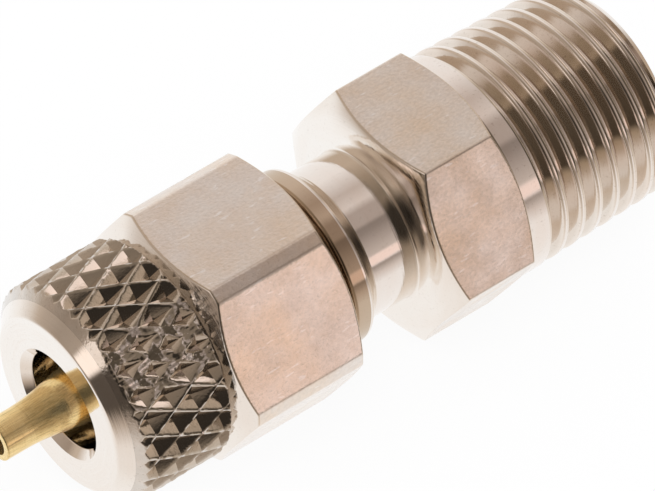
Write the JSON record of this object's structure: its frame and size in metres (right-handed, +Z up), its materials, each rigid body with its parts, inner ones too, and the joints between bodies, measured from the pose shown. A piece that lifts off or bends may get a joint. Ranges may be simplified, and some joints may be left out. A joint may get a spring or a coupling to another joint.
{
  "type": "straight threaded fitting",
  "caption": "Straight nickel-plated brass fitting: taper pipe thread and hexagon body, knurled union nut that clamps a small plastic hose on a brass nozzle.",
  "frame": {"origin": "on the flow axis, in the plane of the body hexagon's face on the pipe thread side", "axes": "+X along the flow axis, out of the pipe thread; -X out of the hose nozzle; +Z up, with the fitting lying on a flat of each hexagon"},
  "size_m": [0.0311, 0.0116, 0.01],
  "materials": {
    "nickel_plate": "nickel plating over machined brass, with fine turning lines",
    "bare_brass": "bare turned brass"
  },
  "bodies": {
    "fitting": {"fitting_body": "nickel_plate", "nozzle": "bare_brass"},
    "nut": {"union_nut": "nickel_plate"}
  },
  "joints": [
    {"name": "nut_draw_off", "type": "slide", "parent": "fitting", "child": "nut", "axis": [-1, 0, 0], "range_m": [0, 0.015]}
  ]
}
